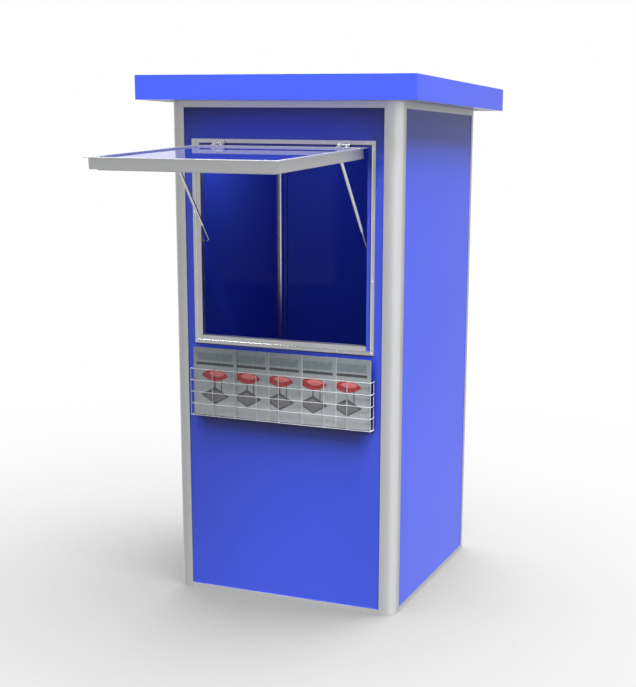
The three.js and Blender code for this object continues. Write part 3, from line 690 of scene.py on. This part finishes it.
def add_rack():
    """Basket of bent wires: hoops round the front and ends, uprights bent in under the floor."""
    low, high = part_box("rack_front_grid")
    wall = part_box("rack_end_left")[1].y - WIRE_RADIUS
    front = low.y + WIRE_RADIUS
    left, right = low.x + WIRE_RADIUS, high.x - WIRE_RADIUS
    bottom = low.z + HOOP_ABOVE_FLOOR
    top = high.z - WIRE_RADIUS
    inside = front + LAP
    bm = bmesh.new()
    for i in range(RACK_HOOPS):
        z = bottom + (top - bottom) * i / (RACK_HOOPS - 1)
        hoop = [(left, wall, z), (left, front, z), (right, front, z), (right, wall, z)]
        tube(bm, rounded_path(hoop, RACK_BEND), WIRE_RADIUS)
    for i in range(RACK_UPRIGHTS):
        x = left + WIRE_RADIUS + (right - left - 2 * WIRE_RADIUS) * i / (RACK_UPRIGHTS - 1)
        upright = [(x, inside, top + WIRE_RADIUS), (x, inside, bottom - LAP), (x, wall, bottom - LAP)]
        tube(bm, rounded_path(upright, UPRIGHT_BEND), WIRE_RADIUS)
    for x in (left + LAP, right - LAP):
        foot, tip = Vector((x, wall, bottom - 2 * MM)), Vector((x, wall, top + WIRE_RADIUS))
        tube(bm, [foot, tip], WIRE_RADIUS)
    back = bottom - 2 * LAP
    tube(bm, [Vector((left, wall, back)), Vector((right, wall, back))], WIRE_RADIUS)
    basket = new_object("rack_basket", mesh_from(bm, "rack_basket"), [coated_wire("coated_wire")],
                        "kiosk")
    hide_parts("rack_front_grid", "rack_end_left", "rack_end_right", "rack_base_grid")


# ---- magazines ------------------------------------------------------------------------------
MAGAZINE_W = 203 * MM
MAGAZINE_H = 284 * MM
MAGAZINE_T = 4 * MM
MAGAZINE_TURN = math.radians(-1.8)  # about the upright, so that neighbours overlap
COVER_LEAF = 0.25 * MM
PAGE_INSET = 0.8 * MM     # pages, inside the covers' sides
COVER_COLUMNS, COVER_ROWS = 24, 30


def cover_print(name):
    """Plain cover: a masthead band, a rule and a red lozenge over a grey one. Object X and Z run
    from the cover's middle and its lower edge."""
    s = Shader(name, (0.4, 0.45, 0.48), 0.3, Coat_Weight=0.5, Coat_Roughness=0.15)
    x, _, z = s.split()
    u = s.math("DIVIDE", x, MAGAZINE_W / 2)
    v = s.math("DIVIDE", z, MAGAZINE_H)

    def band(value, low, high, soft=0.004):
        up = s.spread(value, 0.0, 1.0, steps=(low - soft, low + soft))
        down = s.spread(value, 1.0, 0.0, steps=(high - soft, high + soft))
        return s.math("MULTIPLY", up, down)

    def block(x0, x1, z0, z1):
        return s.math("MULTIPLY", band(u, x0, x1), band(v, z0, z1))

    def lozenge(cx, cz, half_u, half_v, power):
        """A diamond at power 1, nearer an ellipse as the power rises to 2."""
        reach = []
        for value, middle, half in ((u, cx, half_u), (v, cz, half_v)):
            away = s.math("ABSOLUTE", s.math("SUBTRACT", value, middle))
            reach.append(s.math("POWER", s.math("DIVIDE", away, half), power))
        return s.spread(s.math("ADD", *reach), 1.0, 0.0, steps=(0.95, 1.05))

    paper = s.blend(s.spread(v, 0.0, 1.0, steps=(0.15, 0.95)), (0.52, 0.55, 0.57), (0.24, 0.28, 0.30))
    layers = [
        (block(-0.82, 0.82, 0.815, 0.93), (0.15, 0.20, 0.22)),         # masthead band
        (block(-0.86, 0.86, 0.745, 0.785), (0.02, 0.022, 0.026)),      # rule
        (block(-0.03, 0.03, 0.30, 0.55), (0.07, 0.07, 0.075)),         # thick stem
        (block(0.28, 0.33, 0.34, 0.60), (0.09, 0.09, 0.095)),          # thin stem
        (lozenge(0.0, 0.30, 0.66, 0.13, 1.0), (0.08, 0.08, 0.085)),    # grey lozenge
        (lozenge(0.0, 0.29, 0.52, 0.095, 1.0), (0.20, 0.20, 0.21)),    # its paler middle
        (lozenge(0.0, 0.60, 0.60, 0.088, 1.5), (0.42, 0.010, 0.018)),  # red lozenge
        (lozenge(0.08, 0.625, 0.36, 0.045, 1.5), (0.80, 0.20, 0.18)),  # its paler middle
    ]
    color = paper
    for mask, tint in layers:
        color = s.blend(mask, color, tint)
    grain = s.noise(500.0, detail=2.0)
    s.color(s.blend(s.spread(grain, 0.0, 0.08), color, (0.9, 0.9, 0.9)))
    s.rough(s.spread(s.noise(30.0, detail=3.0), 0.22, 0.36))
    s.bump(s.noise(12.0, detail=3.0), strength=0.08, distance=1.0 * MM)
    return s.material


def magazine_mesh(name, bow):
    """Two covers round a block of pages, closed along the spine on the left."""
    bm = bmesh.new()

    def surface(y, left, right, low, high, material):
        """A sheet bowed towards the front, and the corners round its rim."""
        grid = []
        for r in range(COVER_ROWS + 1):
            z = low + (high - low) * r / COVER_ROWS
            line = []
            for c in range(COVER_COLUMNS + 1):
                x = left + (right - left) * c / COVER_COLUMNS
                rise = math.sin(math.pi * (0.15 + 0.85 * z / MAGAZINE_H))
                lift = bow * (1 - (2 * x / MAGAZINE_W) ** 2) * rise
                line.append(bm.verts.new((x, y - lift, z)))
            grid.append(line)
        for a, b in zip(grid, grid[1:]):
            for c in range(COVER_COLUMNS):
                bm.faces.new((a[c], a[c + 1], b[c + 1], b[c])).material_index = material
        up = [line[-1] for line in grid[1:]]
        down = [line[0] for line in grid[-2:0:-1]]
        return grid[0] + up + grid[-1][-2::-1] + down

    def wrap(first, second, material):
        for k in range(len(first)):
            n = (k + 1) % len(first)
            bm.faces.new((first[k], first[n], second[n], second[k])).material_index = material

    half = MAGAZINE_W / 2
    front = -MAGAZINE_T / 2
    back = MAGAZINE_T / 2
    for near, far, left, right, low, high, material in (
        (front, front + COVER_LEAF, -half, half, 0.0, MAGAZINE_H, 0),
        (back - COVER_LEAF, back, -half, half, 0.0, MAGAZINE_H, 0),
        (front + COVER_LEAF, back - COVER_LEAF, -half + PAGE_INSET, half - PAGE_INSET,
         PAGE_INSET, MAGAZINE_H - PAGE_INSET, 1),
    ):
        wrap(surface(near, left, right, low, high, material),
             surface(far, left, right, low, high, material), material)
    spine = [(-half, front), (-half - 0.5 * MM, front * 0.5), (-half - 0.6 * MM, 0.0),
             (-half - 0.5 * MM, back * 0.5), (-half, back), (-half + 0.3 * MM, 0.0)]
    ends = [[bm.verts.new((x, y, z)) for x, y in spine] for z in (0.0, MAGAZINE_H)]
    wrap(ends[0], ends[1], 0)
    bm.faces.new(ends[0])
    bm.faces.new(ends[1])
    return mesh_from(bm, name)


def add_magazines():
    """Five printed magazines, each a little more bowed than the one on its left."""
    cover = cover_print("magazine_cover")
    pages = page_edges("page_edges")
    for i in range(1, 6):
        node = f"magazine_{i}"
        low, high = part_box(node)
        mesh = magazine_mesh(f"{node}_print", (0.5 + 0.12 * i) * MM)
        piece = bpy.data.objects.new(f"{node}_print", mesh)
        bpy.context.scene.collection.objects.link(piece)
        for material in (cover, pages):
            mesh.materials.append(material)
        middle = (low + high) / 2
        place = Matrix.Translation((middle.x, middle.y, low.z))
        piece.matrix_world = place @ Matrix.Rotation(MAGAZINE_TURN, 4, "Z")
        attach(piece, node)
        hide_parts(node)


# ---- stage ----------------------------------------------------------------------------------
FLOOR_RADIUS = 60.0
FLOOR_DROP = 0.2 * MM             # under the booth's feet
SHADE_LEAN = (0.24, 0.19, 0.95)   # away from the front and left, so that they are shaded most
SHADE_REACH = 3.5
SHADE_STEPS = (0.45, 1.0)         # openness of the floor at its darkest and lightest
SHADE_LEVELS = (0.42, 1.02)


def add_stage():
    """Pale glowing floor with a painted soft shade round the booth, more to the front and left."""
    bm = bmesh.new()
    bmesh.ops.create_circle(bm, cap_ends=True, segments=64, radius=FLOOR_RADIUS)
    bmesh.ops.translate(bm, vec=(0, 0, -FLOOR_DROP), verts=bm.verts)
    floor = bpy.data.objects.new("floor", mesh_from(bm, "floor", smooth=False))
    bpy.context.scene.collection.objects.link(floor)
    s = Shader("studio_floor", (0, 0, 0), 1.0, Specular_IOR_Level=0.0, Emission_Strength=1.0)
    lean = s.node("ShaderNodeCombineXYZ")
    for slot, value in zip(lean.inputs, SHADE_LEAN):
        slot.default_value = value
    # painted shade: an occlusion term darkens the floor's glow near the booth; the lamps cast no shadow
    # on it
    shade = s.node("ShaderNodeAmbientOcclusion", samples=16)
    shade.inputs["Distance"].default_value = SHADE_REACH
    s.link(lean.outputs[0], shade.inputs["Normal"])
    open_sky = s.spread(shade.outputs["AO"], *SHADE_LEVELS, steps=SHADE_STEPS)
    s.link(s.blend(open_sky, (0, 0, 0), (1, 1, 1)), s.bsdf.inputs["Emission Color"])
    floor.data.materials.append(s.material)
    floor.visible_diffuse = False
    floor.visible_glossy = False


LAMPS = {  # place, what it points at, diameter in metres, watts
    "key": ((4.2, -3.4, 11.0), (0, 0, 1.0), 5.2, 2800),
    "fill": ((-3.0, -3.8, 11.0), (0, 0, 1.0), 5.2, 1100),
    "cabin": ((-0.20, -0.24, 2.0), (-0.45, -0.05, 1.75), 0.34, 1.1),
    "low": ((1.6, 0.1, 0.12), (0.5, 0.05, 0.3), 0.9, 5.0),
}


def area_light(name, at, target, size, power):
    """A round lamp that the camera doesn't see."""
    data = bpy.data.lights.new(name, "AREA")
    data.shape = "DISK"
    data.size = size
    data.energy = power
    light = bpy.data.objects.new(name, data)
    bpy.context.scene.collection.objects.link(light)
    light.location = at
    light.visible_camera = False
    light.rotation_mode = "QUATERNION"
    light.rotation_quaternion = (Vector(target) - Vector(at)).to_track_quat("-Z", "Y")
    return light


def add_world():
    """White behind the booth; a sky dome for diffuse light; a softer studio for reflections."""
    world = bpy.data.worlds.new("studio")
    world.use_nodes = True
    tree = world.node_tree
    link = tree.links.new
    way = tree.nodes.new("ShaderNodeSeparateXYZ")
    link(tree.nodes.new("ShaderNodeTexCoord").outputs["Generated"], way.inputs[0])

    def ramp(value, start, end, low, high):
        node = tree.nodes.new("ShaderNodeMapRange")
        node.interpolation_type = "SMOOTHSTEP"
        for name, number in (("From Min", start), ("From Max", end), ("To Min", low), ("To Max", high)):
            node.inputs[name].default_value = number
        link(value, node.inputs["Value"])
        return node.outputs["Result"]

    def sums(operation, a, b):
        node = tree.nodes.new("ShaderNodeMath")
        node.operation = operation
        for slot, value in zip(node.inputs, (a, b)):
            if isinstance(value, (int, float)):
                slot.default_value = value
            else:
                link(value, slot)
        return node.outputs[0]

    x, y, z = way.outputs
    # diffuse light: thin at the horizon, strongest overhead, a little more from the right
    sky = sums("ADD", ramp(z, 0.05, 0.65, 0.07, 0.75), ramp(z, 0.6, 0.9, 0.0, 0.5))
    dome = sums("MULTIPLY", sky, ramp(x, -1, 1, 0.85, 1.15))
    # reflections: a faint front, a pale left rear, and a bright right with some floor below it
    front = sums("MULTIPLY", ramp(x, -0.55, -0.2, 0.0, 0.18), ramp(y, 0.2, -0.2, 0.0, 1.0))
    behind = sums("MULTIPLY", ramp(y, 0.1, 0.7, 0.0, 0.5), ramp(x, 0.25, -0.1, 0.0, 1.0))
    beside = sums("ADD", ramp(x, 0.45, 0.9, 0.48, 0.98), ramp(z, -0.1, -0.35, 0.0, 0.08))
    studio = sums("MINIMUM", sums("ADD", beside, sums("ADD", front, behind)), 1.0)
    ray = tree.nodes.new("ShaderNodeLightPath")
    rest = sums("SUBTRACT", dome, studio)
    other = sums("ADD", sums("MULTIPLY", ray.outputs["Is Diffuse Ray"], rest), studio)
    seen = sums("MAXIMUM", other, ray.outputs["Is Camera Ray"])
    background = tree.nodes["Background"]
    background.inputs["Color"].default_value = (1, 1, 1, 1)
    link(seen, background.inputs["Strength"])
    bpy.context.scene.world = world


def add_lights():
    """The world, two big soft lamps overhead, one under the ceiling and a weak one low on the right."""
    add_world()
    lamps = {name: area_light(name, *values) for name, values in LAMPS.items()}
    lamps["low"].visible_glossy = False  # it lights the right side's foot without a glint
    bpy.context.scene.view_settings.view_transform = "Standard"


make_camera()
dress_structure()
add_screws()
add_rack()
add_magazines()
add_stage()
add_lights()
